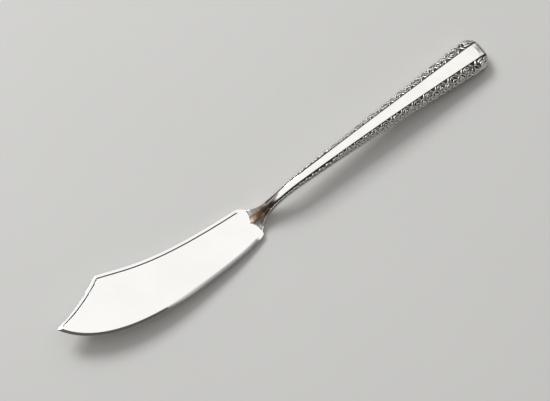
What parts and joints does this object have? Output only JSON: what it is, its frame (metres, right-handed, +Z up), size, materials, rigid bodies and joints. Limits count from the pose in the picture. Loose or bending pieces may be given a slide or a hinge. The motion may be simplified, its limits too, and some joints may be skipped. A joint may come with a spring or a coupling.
{
  "type": "master butter knife",
  "caption": "Master butter knife with a flat clipped blade, a bracketed shoulder and an arched hollow handle that has a plain raised panel between ornament strips.",
  "frame": {"origin": "middle of the footprint of the knife as it lies on a table, at table height", "axes": "+X along the handle from the blade to the butt, +Y towards the spine of the blade, +Z up from the table"},
  "size_m": [0.1756, 0.0244, 0.0109],
  "materials": {
    "blade_steel": "bright polish with fine scratches from use",
    "handle_silver": "bright polish, with dark oxide in the hollows of the ornament",
    "silver_solder": "dull, dressed flush",
    "handle_cement": "matt, set cement"
  },
  "bodies": {
    "root": {"blade": "blade_steel", "front_shell": "handle_silver", "back_shell": "handle_silver", "seam_solder": "silver_solder", "mouth_solder": "silver_solder", "cement_core": "handle_cement"}
  },
  "joints": []
}
